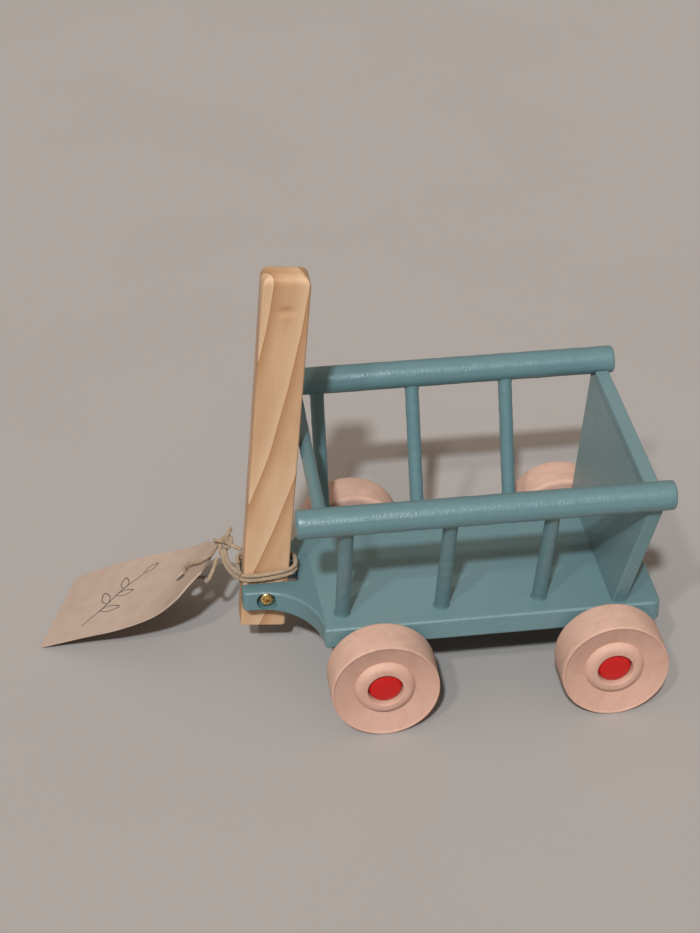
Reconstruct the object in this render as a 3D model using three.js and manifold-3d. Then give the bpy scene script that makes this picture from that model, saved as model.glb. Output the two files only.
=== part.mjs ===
// A small painted wooden hay wagon with a tilting pull stick, built as its separate wooden and metal pieces.
// Millimetres, +Z up. The nose and the pull stick are at -X, the tailboard at +X, and the ground is z = 0.
import * as THREE from "three";
import { mergeVertices } from "three/addons/utils/BufferGeometryUtils.js";
import Module from "manifold-3d";

const wasm = await Module();
wasm.setup();

// ---------- Driving dimensions ----------
const GAP = 0.3; // glued or loose pieces stay this far apart

const wheelRadius = 15;
const wheelBase = 63.5;
const wheelCrest = 41.95; // the wheel's outermost plane, from the middle of the wagon
const wheelCrestRadius = 14.6; // the tread narrows to this at the crest
const wheelInner = 30.3; // the wheel's inner face
const wheelTread = 35.5; // from here outwards the tread starts to narrow
const wheelEase = 1.2;
const wheelBore = 2.25;
const dishFloor = 39.75; // the dish's deepest plane, at the boss's foot
const axleRadius = 2;
const axleClearance = 0.08;

const deckTop = 27.5;
const deckThickness = 6.3;
const deckHalfWidth = 29.0;
const deckRear = 46.9;
const deckFront = -46.7;
const deckCornerRadius = 2.5;

const noseFront = -67.5;
const noseHalfWidth = 9.3;
const shoulderLength = 16.8; // concave quarter curves join the nose to the deck
const slotHalfWidth = 4.35;
const slotRear = -51.4;

const stickWidth = 12.7; // along the wagon
const stickThickness = 7.9;
const stickLength = 111.4;
const stickBelowPivot = 12.3;
const stickLean = THREE.MathUtils.degToRad(5.2);
const pivotX = -60.8;
const pivotZ = deckTop - deckThickness / 2;
const screwShankRadius = 1.5;
const screwHeadRadius = 2.1;
const counterboreRadius = 2.9;
const counterboreDepth = 2.2;

const railRadius = 3.95;
const railZ = 67.9;
const railY = 35.9;
const railFront = -54.5;
const railRear = 45.8;

const spindleRadius = 2;
const spindleFootY = 21.7; // where a spindle's axis meets the deck's top
const spindleXs = [-41.1, -13.5, 13.8];
const spindleInDeck = 4;
const spindleInRail = 2.6;

const crossBarRadius = 1.83;
const crossBarX = -47.8;

const boardThickness = 4;
const boardFootX = 33.3; // the tailboard's front face at the deck's top
const boardTopX = 39.9; // and at its own top edge
const boardTop = 66.4;
const boardFootHalfWidth = 27.1;
const boardTopHalfWidth = 36.6;
const boardGroove = 1.4;

const blockLength = 13;
const blockHalfWidth = 28.0;
const blockBottom = 8.6;

const capRadius = 4.65;
const hubHoleRadius = 4.9;
const hubHoleDepth = 4.6;
const capRecess = 2.1; // from the boss's face in to the cap's rim
const capDome = 1.2;
const capFromFloor = 0.2;
const bossRadius = 8.2; // at its foot
const bossFaceRadius = 6.2;
const bossFace = 41.6; // the boss's outer face, from the middle of the wagon

const twineRadius = 0.6;
const twineSides = 8;
const tagThickness = 0.5;
const tagWidth = 34;
const tagLength = 56.9;
const tagClip = 7.5;
const tagHoleRadius = 2.5;
const tagHoleInset = 13;
const tagTwist = 0.15; // how steeply the far edge first climbs above the near one
const tagLevel = 33; // at this distance from the tag's start the two edges are level again
const tagCorner = new THREE.Vector3(-125.6, 9.6, 0.35);
const tagHeading = THREE.MathUtils.degToRad(-18.4);

// Along X the pieces are placed from the middle between the axles. The whole wagon is then shifted, so that the
// origin is under the middle of the box from the stick's toe to the deck's rear.
const stickEase = 0.5;
const toeX =
  pivotX - (stickWidth / 2) * Math.cos(stickLean) - (stickBelowPivot - stickEase) * Math.sin(stickLean);
const originShift = -(toeX + deckRear) / 2;

// ---------- Paints and woods ----------
const bluePaint = new THREE.MeshStandardMaterial({ color: 0x5f8088, roughness: 0.45, metalness: 0 });
const paleWood = new THREE.MeshStandardMaterial({ color: 0xdcb394, roughness: 0.6, metalness: 0 });
const pineWood = new THREE.MeshStandardMaterial({ color: 0xcf9f70, roughness: 0.55, metalness: 0 });
const redGloss = new THREE.MeshStandardMaterial({ color: 0xb5151c, roughness: 0.15, metalness: 0 });
const brass = new THREE.MeshStandardMaterial({ color: 0xb08d4a, roughness: 0.3, metalness: 1 });
const cotton = new THREE.MeshStandardMaterial({ color: 0xd6bb94, roughness: 0.9, metalness: 0 });
const card = new THREE.MeshStandardMaterial({ color: 0xd9bfae, roughness: 0.8, metalness: 0 });

// ---------- Solids ----------

// A closed three.js geometry, placed by a matrix, as a manifold solid.
function solid(geometry, matrix = new THREE.Matrix4()) {
  const bare = new THREE.BufferGeometry();
  const source = geometry.index ? geometry.toNonIndexed() : geometry;
  bare.setAttribute("position", source.getAttribute("position").clone());
  bare.applyMatrix4(matrix);
  const merged = mergeVertices(bare, 1e-4);
  return new wasm.Manifold(
    new wasm.Mesh({
      numProp: 3,
      vertProperties: new Float32Array(merged.attributes.position.array),
      triVerts: new Uint32Array(merged.index.array),
    }),
  );
}

// A manifold solid as a three.js geometry.
function geometryOf(manifold) {
  const made = manifold.getMesh();
  const geometry = new THREE.BufferGeometry();
  geometry.setAttribute("position", new THREE.BufferAttribute(new Float32Array(made.vertProperties), 3));
  geometry.setIndex(new THREE.BufferAttribute(new Uint32Array(made.triVerts), 1));
  geometry.computeVertexNormals();
  return geometry;
}

// A box between two corners.
function boxSolid(low, high) {
  const size = new THREE.Vector3().subVectors(high, low);
  const centre = new THREE.Vector3().addVectors(high, low).multiplyScalar(0.5);
  const place = new THREE.Matrix4().makeTranslation(centre);
  return solid(new THREE.BoxGeometry(size.x, size.y, size.z), place);
}

// A round rod between two points, its ends eased by a small chamfer.
function rodSolid(from, to, radius, sides, ease = 0.4) {
  const length = from.distanceTo(to);
  const profile = [
    new THREE.Vector2(0, 0),
    new THREE.Vector2(radius - ease, 0),
    new THREE.Vector2(radius, ease),
    new THREE.Vector2(radius, length - ease),
    new THREE.Vector2(radius - ease, length),
    new THREE.Vector2(0, length),
  ];
  const direction = new THREE.Vector3().subVectors(to, from).normalize();
  const turn = new THREE.Quaternion().setFromUnitVectors(new THREE.Vector3(0, 1, 0), direction);
  const place = new THREE.Matrix4().compose(from, turn, new THREE.Vector3(1, 1, 1));
  return solid(new THREE.LatheGeometry(profile, sides), place);
}

// An outline in the XY plane, thickened upwards from z = bottom.
function plateSolid(shape, bottom, thickness, curveSegments = 10) {
  const geometry = new THREE.ExtrudeGeometry(shape, {
    depth: thickness,
    bevelEnabled: false,
    curveSegments,
  });
  return solid(geometry, new THREE.Matrix4().makeTranslation(0, 0, bottom));
}

// An outline in the XZ plane, thickened along Y to both sides of y = 0.
function sidePlateSolid(shape, halfWidth, curveSegments = 8) {
  const geometry = new THREE.ExtrudeGeometry(shape, {
    depth: 2 * halfWidth,
    bevelEnabled: false,
    curveSegments,
  });
  const standUp = new THREE.Matrix4().makeRotationX(Math.PI / 2);
  standUp.setPosition(0, halfWidth, 0);
  return solid(geometry, standUp);
}

// A twine tube along a smooth open curve through the points.
function twineGeometry(points, steps) {
  const section = new THREE.Shape();
  section.absarc(0, 0, twineRadius, 0, 2 * Math.PI, false);
  return new THREE.ExtrudeGeometry(section, {
    steps,
    curveSegments: twineSides / 2,
    bevelEnabled: false,
    extrudePath: new THREE.CatmullRomCurve3(points, false, "centripetal"),
  });
}

const wagon = new THREE.Group();
wagon.position.x = originShift;

function add(name, geometry, material) {
  const mesh = new THREE.Mesh(geometry, material);
  mesh.name = name;
  wagon.add(mesh);
  return mesh;
}

const at = (x, y, z) => new THREE.Vector3(x, y, z);

// ---------- Deck with its forked nose ----------

// The deck's outline: along one side from the nose tip to the rear, and back along the other.
function deckShape() {
  const shape = new THREE.Shape();
  const r = deckCornerRadius;
  const noseCorner = 1.5;
  const shoulderX = deckFront - shoulderLength;
  const shoulderWidth = deckHalfWidth - noseHalfWidth;
  shape.moveTo(noseFront, -noseHalfWidth + noseCorner);
  shape.quadraticCurveTo(noseFront, -noseHalfWidth, noseFront + noseCorner, -noseHalfWidth);
  shape.lineTo(shoulderX, -noseHalfWidth);
  shape.absellipse(shoulderX, -deckHalfWidth, shoulderLength, shoulderWidth, Math.PI / 2, 0, true);
  shape.lineTo(deckRear - r, -deckHalfWidth);
  shape.absarc(deckRear - r, -deckHalfWidth + r, r, -Math.PI / 2, 0, false);
  shape.absarc(deckRear - r, deckHalfWidth - r, r, 0, Math.PI / 2, false);
  shape.lineTo(deckFront, deckHalfWidth);
  shape.absellipse(shoulderX, deckHalfWidth, shoulderLength, shoulderWidth, 0, -Math.PI / 2, true);
  shape.lineTo(noseFront + noseCorner, noseHalfWidth);
  shape.quadraticCurveTo(noseFront, noseHalfWidth, noseFront, noseHalfWidth - noseCorner);
  return shape;
}

// The direction of a spindle on the side (+1 or -1), from its foot to the rail's axis.
function spindleLine(side, x) {
  const foot = at(x, side * spindleFootY, deckTop);
  const head = at(x, side * railY, railZ);
  const up = new THREE.Vector3().subVectors(head, foot).normalize();
  return { foot, head, up };
}

function spindleEnds(side, x) {
  const { foot, head, up } = spindleLine(side, x);
  return {
    low: foot.clone().addScaledVector(up, -spindleInDeck),
    high: head.clone().addScaledVector(up, spindleInRail - railRadius),
  };
}

// The hole that a spindle's end sits in, a little wider and deeper than the spindle.
function spindleHole(side, x) {
  const { low, high } = spindleEnds(side, x);
  const { up } = spindleLine(side, x);
  const from = low.addScaledVector(up, -GAP);
  const to = high.addScaledVector(up, GAP);
  return rodSolid(from, to, spindleRadius + GAP / 2, 16, 0.05);
}

// The tailboard's slope: how far its face moves back for each millimetre up.
const boardSlope = (boardTopX - boardFootX) / (boardTop - deckTop);
const boardRun = boardThickness * Math.hypot(1, boardSlope);

function boardProfile(bottom, top, grow) {
  const faceX = (z) => boardFootX + (z - deckTop) * boardSlope;
  const shape = new THREE.Shape();
  shape.moveTo(faceX(bottom) - grow, bottom);
  shape.lineTo(faceX(bottom) + boardRun + grow, bottom);
  shape.lineTo(faceX(top) + boardRun + grow, top);
  shape.lineTo(faceX(top) - grow, top);
  return shape;
}

function screwAxis(from, to, radius, sides) {
  return rodSolid(at(pivotX, from, pivotZ), at(pivotX, to, pivotZ), radius, sides, 0.05);
}

function makeDeck() {
  let deck = plateSolid(deckShape(), deckTop - deckThickness, deckThickness, 14);
  const slot = boxSolid(
    at(noseFront - 5, -slotHalfWidth, deckTop - deckThickness - 1),
    at(slotRear, slotHalfWidth, deckTop + 1),
  );
  deck = deck.subtract(slot);
  deck = deck.subtract(screwAxis(-noseHalfWidth - 1, noseHalfWidth - 3, screwShankRadius + 0.1, 20));
  const boreEnd = -noseHalfWidth + counterboreDepth;
  deck = deck.subtract(screwAxis(-noseHalfWidth - 1, boreEnd, counterboreRadius, 28));
  const groove = boardProfile(deckTop - boardGroove - GAP, deckTop + 2, GAP);
  deck = deck.subtract(sidePlateSolid(groove, boardFootHalfWidth + GAP));
  for (const side of [-1, 1]) {
    for (const x of spindleXs) deck = deck.subtract(spindleHole(side, x));
  }
  return geometryOf(deck);
}

add("deck", makeDeck(), bluePaint);

// ---------- Rails, spindles and the front cross bar ----------

const sides = [
  { name: "left", sign: -1 },
  { name: "right", sign: 1 },
];

const crossBarEnd = railY - railRadius + spindleInRail;

function makeRail(sign) {
  const front = at(railFront, sign * railY, railZ);
  const rear = at(railRear, sign * railY, railZ);
  let rail = rodSolid(front, rear, railRadius, 28, 0.8);
  for (const x of spindleXs) rail = rail.subtract(spindleHole(sign, x));
  const hole = rodSolid(
    at(crossBarX, sign * (railY - 2 * railRadius), railZ),
    at(crossBarX, sign * (crossBarEnd + GAP), railZ),
    crossBarRadius + GAP / 2,
    16,
    0.05,
  );
  return geometryOf(rail.subtract(hole));
}

for (const { name, sign } of sides) {
  add("rail_" + name, makeRail(sign), bluePaint);
  spindleXs.forEach((x, i) => {
    const { low, high } = spindleEnds(sign, x);
    const spindle = rodSolid(low, high, spindleRadius, 16, 0.3);
    add("spindle_" + name + "_" + (i + 1), geometryOf(spindle), bluePaint);
  });
}

const crossBarLeft = at(crossBarX, -crossBarEnd, railZ);
const crossBarRight = at(crossBarX, crossBarEnd, railZ);
const crossBar = rodSolid(crossBarLeft, crossBarRight, crossBarRadius, 16, 0.3);
add("front_cross_bar", geometryOf(crossBar), bluePaint);

// ---------- Tailboard ----------

// The board narrows towards its foot, and its top corners are hollowed to take the rails.
function makeTailboard() {
  const bottom = deckTop - boardGroove;
  const slab = sidePlateSolid(boardProfile(bottom, boardTop, 0), boardTopHalfWidth);
  const widthPerHeight = (boardTopHalfWidth - boardFootHalfWidth) / (boardTop - deckTop);
  const front = new THREE.Shape();
  const above = boardTop + 1;
  const halfAbove = boardFootHalfWidth + (above - deckTop) * widthPerHeight;
  front.moveTo(-boardFootHalfWidth, bottom - 1);
  front.lineTo(boardFootHalfWidth, bottom - 1);
  front.lineTo(boardFootHalfWidth, deckTop);
  front.lineTo(halfAbove, above);
  front.lineTo(-halfAbove, above);
  front.lineTo(-boardFootHalfWidth, deckTop);
  const geometry = new THREE.ExtrudeGeometry(front, { depth: 30, bevelEnabled: false });
  // Turn the outline's x into Y and its y into Z, with the thickness along +X.
  const turn = new THREE.Matrix4().makeBasis(at(0, 1, 0), at(0, 0, 1), at(1, 0, 0));
  turn.setPosition(boardFootX - 10, 0, 0);
  let board = slab.intersect(solid(geometry, turn));
  for (const { sign } of sides) {
    const from = at(boardFootX - 20, sign * railY, railZ);
    const to = at(boardTopX + 30, sign * railY, railZ);
    board = board.subtract(rodSolid(from, to, railRadius + GAP, 28, 0.05));
  }
  return geometryOf(board);
}

add("tailboard", makeTailboard(), bluePaint);

// ---------- Running gear ----------

const ends = [
  { name: "front", x: -wheelBase / 2 },
  { name: "rear", x: wheelBase / 2 },
];
const capFoot = bossFace - hubHoleDepth + capFromFloor;
const axleEnd = capFoot - GAP; // the axle stops behind the cap

function axisY(x, from, to, radius, sides) {
  return rodSolid(at(x, from, wheelRadius), at(x, to, wheelRadius), radius, sides, 0.3);
}

// The axle lies in a round-bottomed groove in the block's top, which the deck closes.
function makeAxleBlock(x) {
  const half = blockLength / 2;
  const grooveHalf = axleRadius + axleClearance;
  const past = blockHalfWidth + 5;
  const top = deckTop - deckThickness - GAP;
  const block = boxSolid(at(x - half, -blockHalfWidth, blockBottom), at(x + half, blockHalfWidth, top));
  const groove = boxSolid(at(x - grooveHalf, -past, wheelRadius), at(x + grooveHalf, past, top + 1));
  return geometryOf(block.subtract(axisY(x, -past, past, grooveHalf, 32)).subtract(groove));
}

// The wheel's section: radius first, then the distance from the middle of the wagon.
function wheelProfile() {
  const crestLip = 0.4; // the crest rounds over into the dish
  const holeEase = 0.3;
  const holeFloor = bossFace - hubHoleDepth;
  const outline = new THREE.Shape();
  outline.moveTo(wheelBore, wheelInner);
  outline.lineTo(wheelRadius - wheelEase, wheelInner);
  outline.quadraticCurveTo(wheelRadius, wheelInner, wheelRadius, wheelInner + wheelEase);
  outline.lineTo(wheelRadius, wheelTread);
  outline.bezierCurveTo(
    wheelRadius,
    wheelCrest - 1.6,
    wheelCrestRadius + crestLip / 2,
    wheelCrest,
    wheelCrestRadius,
    wheelCrest,
  );
  outline.quadraticCurveTo(
    wheelCrestRadius - crestLip / 2,
    wheelCrest,
    wheelCrestRadius - crestLip,
    wheelCrest - crestLip / 2,
  );
  outline.lineTo(bossRadius, dishFloor);
  outline.quadraticCurveTo(bossRadius - 0.3, bossFace, bossFaceRadius, bossFace);
  outline.lineTo(hubHoleRadius + holeEase, bossFace);
  outline.lineTo(hubHoleRadius, bossFace - holeEase);
  outline.lineTo(hubHoleRadius, holeFloor);
  outline.lineTo(wheelBore, holeFloor);
  outline.closePath();
  return outline.extractPoints(4).shape;
}

function makeWheel(x, sign) {
  const lathe = new THREE.LatheGeometry(wheelProfile(), 36);
  const turn = new THREE.Matrix4().makeRotationX(sign > 0 ? 0 : Math.PI);
  turn.setPosition(x, 0, wheelRadius);
  return geometryOf(solid(lathe, turn));
}

// A slightly domed disc glued to the axle's end, down in the hub hole.
function makeHubCap(x, sign) {
  const rim = bossFace - capRecess;
  const edge = 0.3;
  const outline = new THREE.Shape();
  outline.moveTo(0, capFoot);
  outline.lineTo(capRadius, capFoot);
  outline.lineTo(capRadius, rim);
  outline.lineTo(capRadius - edge, rim + edge);
  outline.bezierCurveTo(capRadius - edge, rim + capDome, capRadius / 2, rim + capDome, 0, rim + capDome);
  const lathe = new THREE.LatheGeometry(outline.extractPoints(3).shape, 20);
  const turn = new THREE.Matrix4().makeRotationX(sign > 0 ? 0 : Math.PI);
  turn.setPosition(x, 0, wheelRadius);
  return geometryOf(solid(lathe, turn));
}

for (const end of ends) {
  add("axle_block_" + end.name, makeAxleBlock(end.x), bluePaint);
  add("axle_" + end.name, geometryOf(axisY(end.x, -axleEnd, axleEnd, axleRadius, 32)), paleWood);
  for (const { name, sign } of sides) {
    add("wheel_" + end.name + "_" + name, makeWheel(end.x, sign), paleWood);
    add("hub_cap_" + end.name + "_" + name, makeHubCap(end.x, sign), redGloss);
  }
}

// ---------- Pull stick and its pivot ----------

function makePullStick() {
  const half = stickWidth / 2;
  const top = stickLength - stickBelowPivot;
  const bottom = -stickBelowPivot;
  const topRound = 3.2;
  const shape = new THREE.Shape();
  shape.moveTo(-half + stickEase, bottom);
  shape.lineTo(half - stickEase, bottom);
  shape.lineTo(half, bottom + stickEase);
  shape.lineTo(half, top - topRound);
  shape.absarc(half - topRound, top - topRound, topRound, 0, Math.PI / 2, false);
  shape.absarc(-half + topRound, top - topRound, topRound, Math.PI / 2, Math.PI, false);
  shape.lineTo(-half, bottom + stickEase);
  const lean = new THREE.Matrix4().makeRotationY(stickLean);
  lean.setPosition(pivotX, 0, pivotZ);
  const blank = sidePlateSolid(shape, stickThickness / 2);
  const place = solid(geometryOf(blank), lean);
  const bore = screwAxis(-stickThickness, stickThickness, screwShankRadius + 0.1, 24);
  return geometryOf(place.subtract(bore));
}

add("pull_stick", makePullStick(), pineWood);

// A pan-head screw: shank, head and a cross recess.
function makePivotScrew() {
  const headProud = 0.5; // the head stands this far out of the nose
  const headSeat = 0.2;
  const shankEnd = noseHalfWidth - 3.4;
  const headFace = -noseHalfWidth + headProud;
  const headFoot = -noseHalfWidth + counterboreDepth - headSeat;
  const recessArm = 1.3;
  const recessHalf = 0.3;
  const head = rodSolid(at(pivotX, headFoot, pivotZ), at(pivotX, headFace, pivotZ), screwHeadRadius, 28, 0.45);
  let screw = screwAxis(headFoot - headSeat, shankEnd, screwShankRadius, 20).add(head);
  for (const [dx, dz] of [
    [recessArm, recessHalf],
    [recessHalf, recessArm],
  ]) {
    const low = at(pivotX - dx, headFace - 1, pivotZ - dz);
    const high = at(pivotX + dx, headFace + 0.7, pivotZ + dz);
    screw = screw.subtract(boxSolid(low, high));
  }
  return geometryOf(screw);
}

add("pivot_screw", makePivotScrew(), brass);

// ---------- Twine and swing tag ----------

// The twine goes twice round the stick, just above the nose. Its corners are rounded off by a power curve,
// and behind the stick it bulges out to where its ends leave for the knot.
function makeTwineLoop() {
  const slack = 0.8;
  const halfX = stickWidth / 2 + twineRadius + slack;
  const halfY = stickThickness / 2 + twineRadius + slack;
  const turns = 2;
  const perTurn = 16;
  const firstRise = 5.1; // above the pivot
  const risePerTurn = 1.5;
  const cornerPower = 6;
  const rearBulge = 1.4;
  const rearShift = 0.6;
  const points = [];
  for (let i = 0; i <= turns * perTurn; i++) {
    const angle = (2 * Math.PI * i) / perTurn + Math.PI;
    const c = Math.cos(angle);
    const s = Math.sin(angle);
    const square = Math.pow(Math.abs(c) ** cornerPower + Math.abs(s) ** cornerPower, -1 / cornerPower);
    const bulge = c > 0 ? rearBulge * c * c : 0;
    const x = (halfX + bulge) * c * square + rearShift;
    const z = firstRise + (i / perTurn) * risePerTurn;
    points.push(at(pivotX + x, halfY * s * square, pivotZ + z));
  }
  return twineGeometry(points, 48);
}

add("twine_loop", makeTwineLoop(), cotton);

const knotCentre = at(-71.4, 8.1, 32.9);
const knotRadius = 2.8;
add("twine_knot", new THREE.SphereGeometry(knotRadius, 12, 8), cotton).position.copy(knotCentre);

// The tag lies on the ground at one end and climbs in an S towards the knot. Its near edge, from the end on the
// ground: the distance along the ground, then the height.
function tagPath() {
  const line = [
    at(0, 0, 0),
    at(12.8, 5.3, 0),
    at(24.7, 10.1, 0),
    at(36.1, 16.9, 0),
    at(47.5, 29.4, 0),
  ];
  return new THREE.CatmullRomCurve3(line, false, "centripetal");
}

// The tag is twisted: how far it stands above its near edge at a distance along and across it.
function tagRise(along, across) {
  return (across / tagWidth) * tagTwist * along * (1 - (along / tagLevel) ** 2);
}

// The place of the tag's sheet: it is made along X from the origin, then turned and moved to its corner.
const tagPlace = new THREE.Matrix4().makeRotationZ(tagHeading).setPosition(tagCorner);

// The sheet bent along the path, before its corners are clipped.
function tagStrip(curve) {
  const steps = 14;
  const upper = [];
  const lower = [];
  for (let i = 0; i <= steps; i++) {
    const point = curve.getPointAt(i / steps);
    const tangent = curve.getTangentAt(i / steps);
    const normal = new THREE.Vector2(-tangent.y, tangent.x);
    upper.push(new THREE.Vector2(point.x, point.y).addScaledVector(normal, tagThickness));
    lower.push(new THREE.Vector2(point.x, point.y));
  }
  const section = new THREE.Shape([...lower, ...upper.reverse()]);
  const strip = new THREE.ExtrudeGeometry(section, { depth: tagWidth, steps: 6, bevelEnabled: false });
  const stand = new THREE.Matrix4().makeRotationX(Math.PI / 2);
  stand.setPosition(0, tagWidth, 0);
  strip.applyMatrix4(stand);
  const corners = strip.getAttribute("position");
  for (let i = 0; i < corners.count; i++) {
    corners.setZ(i, corners.getZ(i) + tagRise(corners.getX(i), corners.getY(i)));
  }
  return solid(strip);
}

// A frame at the middle of the tag's hole, on its lower face: X along the tag towards the knot, Y across the tag
// and Z out of its upper face.
function tagHoleFrame() {
  const curve = tagPath();
  const share = 1 - tagHoleInset / tagLength;
  const here = curve.getPointAt(share);
  const tangent = curve.getTangentAt(share);
  const middle = tagWidth / 2;
  const riseAlong = (tagRise(here.x + 0.5, middle) - tagRise(here.x - 0.5, middle)) * tangent.x;
  const along = at(tangent.x, 0, tangent.y + riseAlong).normalize();
  const slant = at(0, tagWidth, tagRise(here.x, tagWidth)).normalize();
  const out = new THREE.Vector3().crossVectors(along, slant).normalize();
  const across = new THREE.Vector3().crossVectors(out, along);
  const frame = new THREE.Matrix4().makeBasis(along, across, out);
  return frame.setPosition(here.x, middle, here.y + tagRise(here.x, middle));
}

function makeTag() {
  const curve = tagPath();
  let sheet = tagStrip(curve);
  const end = curve.getPointAt(1);
  const clipStart = curve.getPointAt(1 - tagClip / tagLength).x;
  const past = 5;
  for (const [edge, inwards] of [
    [0, 1],
    [tagWidth, -1],
  ]) {
    const slope = tagClip / (end.x - clipStart);
    const corner = new THREE.Shape();
    corner.moveTo(clipStart - past, edge - inwards * past * slope);
    corner.lineTo(end.x + past, edge - inwards * past * slope);
    corner.lineTo(end.x + past, edge + inwards * (tagClip + past * slope));
    sheet = sheet.subtract(plateSolid(corner, -past, end.y + 2 * past));
  }
  const frame = tagHoleFrame();
  const low = at(0, 0, -3).applyMatrix4(frame);
  const high = at(0, 0, 3).applyMatrix4(frame);
  sheet = sheet.subtract(rodSolid(low, high, tagHoleRadius, 20, 0.05));
  return geometryOf(solid(geometryOf(sheet), tagPlace));
}

add("swing_tag", makeTag(), card);

// The twine's tail leaves the knot along the tag's upper face, goes down through the hole, and comes back under
// the tag's end to the knot. Its points are measured from the middle of the hole on the upper face: along the
// tag towards the knot, across the tag, and out from the upper face.
const tailRoute = [
  at(15.2, -2.1, 2.0),
  at(13.3, -2.1, 1.7),
  at(11.0, -2.1, 1.6),
  at(8.6, -1.7, 1.6),
  at(6.3, -0.8, 2.0),
  at(4.1, -0.1, 2.25),
  at(2.33, 0, 1.5),
  at(1.6, 0, -0.25),
  at(2.33, -0.1, -2.0),
  at(4.1, -0.5, -2.85),
  at(6.2, -1.5, -3.3),
  at(8.1, -3.6, -3.4),
  at(9.6, -6.3, -3.1),
  at(11.4, -8.4, -2.5),
  at(13.5, -8.7, -1.5),
  at(15.2, -7.2, -0.4),
  at(16.8, -5.1, 1.0),
];

function makeTwineTail() {
  const out = new THREE.Matrix4().makeTranslation(0, 0, tagThickness);
  const frame = tagPlace.clone().multiply(tagHoleFrame()).multiply(out);
  const points = tailRoute.map((point) => point.clone().applyMatrix4(frame));
  return twineGeometry(points, 60);
}

add("twine_tail", makeTwineTail(), cotton);

export default wagon;
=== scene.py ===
"""A small painted wooden hay wagon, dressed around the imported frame.

Everything is measured in millimetres from the middle between the axles, on the ground: X runs to the rear,
Y to the right and Z up. TO_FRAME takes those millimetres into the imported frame, in metres.
"""

import math

import bmesh
import bpy
from mathutils import Matrix, Vector, noise


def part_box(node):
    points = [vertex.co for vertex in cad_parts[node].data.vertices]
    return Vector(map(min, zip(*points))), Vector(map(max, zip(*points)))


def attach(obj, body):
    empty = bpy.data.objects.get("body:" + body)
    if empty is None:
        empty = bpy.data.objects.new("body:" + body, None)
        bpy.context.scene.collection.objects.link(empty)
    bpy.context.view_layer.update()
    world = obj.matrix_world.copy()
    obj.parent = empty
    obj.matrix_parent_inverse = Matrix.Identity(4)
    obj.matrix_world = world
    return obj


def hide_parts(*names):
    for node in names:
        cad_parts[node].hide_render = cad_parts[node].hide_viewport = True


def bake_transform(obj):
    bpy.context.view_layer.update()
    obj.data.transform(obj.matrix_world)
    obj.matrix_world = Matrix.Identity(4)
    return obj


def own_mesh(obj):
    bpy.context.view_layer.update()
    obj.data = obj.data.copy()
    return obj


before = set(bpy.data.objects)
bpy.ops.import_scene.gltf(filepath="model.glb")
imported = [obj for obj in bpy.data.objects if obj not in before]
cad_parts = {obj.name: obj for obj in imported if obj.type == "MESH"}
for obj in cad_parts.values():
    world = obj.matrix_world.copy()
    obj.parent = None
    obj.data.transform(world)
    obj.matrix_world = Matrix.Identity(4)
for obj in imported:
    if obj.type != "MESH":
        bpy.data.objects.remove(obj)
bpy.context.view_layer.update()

MM = 0.001
wheels_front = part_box("wheel_front_left")[0].x
wheels_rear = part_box("wheel_rear_left")[1].x
FRAME_ORIGIN = Vector(((wheels_front + wheels_rear) / 2, 0, 0))
TO_FRAME = Matrix.Translation(FRAME_ORIGIN) @ Matrix.Scale(MM, 4)


def box_mm(node):
    """A CAD node's corners, in millimetres from the middle between the axles."""
    low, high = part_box(node)
    return (low - FRAME_ORIGIN) / MM, (high - FRAME_ORIGIN) / MM


# ---------- Camera ----------

CAMERA_TARGET = TO_FRAME @ Vector((-35.225, 5.25, 57.645))
CAMERA_AZIMUTH = math.radians(-6.837)
CAMERA_ELEVATION = math.radians(33.049)
CAMERA_ROLL = math.radians(-0.695)
CAMERA_DISTANCE = 0.5869
CAMERA_LENS = 81.47


def make_camera():
    data = bpy.data.cameras.new("camera")
    data.sensor_fit = "VERTICAL"
    data.sensor_height = 36
    data.lens = CAMERA_LENS
    data.clip_start = 0.01
    back = Vector(
        (
            math.sin(CAMERA_AZIMUTH) * math.cos(CAMERA_ELEVATION),
            -math.cos(CAMERA_AZIMUTH) * math.cos(CAMERA_ELEVATION),
            math.sin(CAMERA_ELEVATION),
        )
    )
    level = Vector((0, 0, 1)).cross(back).normalized()
    upright = back.cross(level)
    right = level * math.cos(CAMERA_ROLL) + upright * math.sin(CAMERA_ROLL)
    up = back.cross(right)
    camera = bpy.data.objects.new("camera", data)
    camera.matrix_world = Matrix.LocRotScale(
        CAMERA_TARGET + back * CAMERA_DISTANCE,
        Matrix((right, up, back)).transposed().to_quaternion(),
        None,
    )
    bpy.context.scene.collection.objects.link(camera)
    bpy.context.scene.camera = camera


make_camera()

# ---------- Sizes that the CAD boxes give ----------

deck_low, deck_high = box_mm("deck")
rail_low, rail_high = box_mm("rail_right")
bar_low, bar_high = box_mm("front_cross_bar")
block_low, block_high = box_mm("axle_block_front")
axle_low, axle_high = box_mm("axle_front")
wheel_low, wheel_high = box_mm("wheel_front_right")
cap_low, cap_high = box_mm("hub_cap_front_right")
screw_low, screw_high = box_mm("pivot_screw")

DECK_TOP = deck_high.z
DECK_BOTTOM = deck_low.z
DECK_HALF_WIDTH = deck_high.y
DECK_REAR = deck_high.x
NOSE_FRONT = deck_low.x
RAIL_RADIUS = (rail_high.z - rail_low.z) / 2
RAIL_Z = (rail_high.z + rail_low.z) / 2
RAIL_Y = (rail_high.y + rail_low.y) / 2
BAR_X = (bar_high.x + bar_low.x) / 2
BAR_RADIUS = (bar_high.z - bar_low.z) / 2
WHEEL_RADIUS = (wheel_high.z - wheel_low.z) / 2
WHEEL_INNER = wheel_low.y
WHEEL_CREST = wheel_high.y
AXLE_RADIUS = (axle_high.z - axle_low.z) / 2
AXLE_XS = {
    end: (box_mm(f"axle_{end}")[0].x + box_mm(f"axle_{end}")[1].x) / 2
    for end in ("front", "rear")
}
SIDES = {"left": -1, "right": 1}
TO_REAR = Vector((1, 0, 0))
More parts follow.
